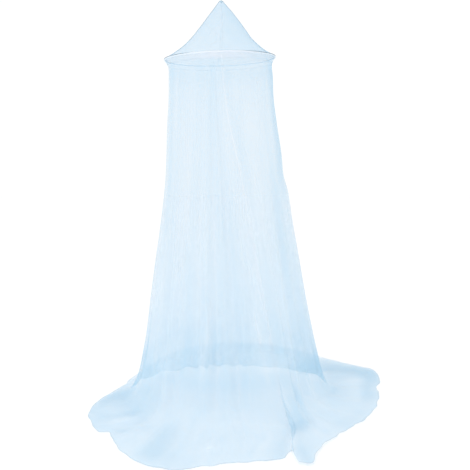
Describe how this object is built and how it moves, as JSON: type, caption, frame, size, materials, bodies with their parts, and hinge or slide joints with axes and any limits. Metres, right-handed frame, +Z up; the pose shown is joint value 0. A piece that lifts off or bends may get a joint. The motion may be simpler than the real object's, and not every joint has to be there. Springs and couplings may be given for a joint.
{
  "type": "mosquito net canopy with its hoop",
  "caption": "Round hung net canopy: a cone of net over a hoop, and a long slit net curtain below it that pools on the floor.",
  "frame": {"origin": "where a ceiling hook bears in the hanging loop at the top", "axes": "+Z up; the front, with the slit, faces -Y; +X is the viewer's right from the front"},
  "size_m": [1.6886, 1.6576, 2.2175],
  "materials": {
    "net": "fine polyester net, pale blue, sheer",
    "folded_net": "the same net folded double",
    "hoop": "smooth pale plastic tube",
    "tape": "woven polyester tape"
  },
  "bodies": {
    "root": {"crown_gore_1": "net", "crown_gore_2": "net", "crown_gore_3": "net", "crown_gore_4": "net", "curtain": "net", "hoop_casing": "folded_net", "hoop": "hoop", "hanging_loop": "tape"}
  },
  "joints": []
}
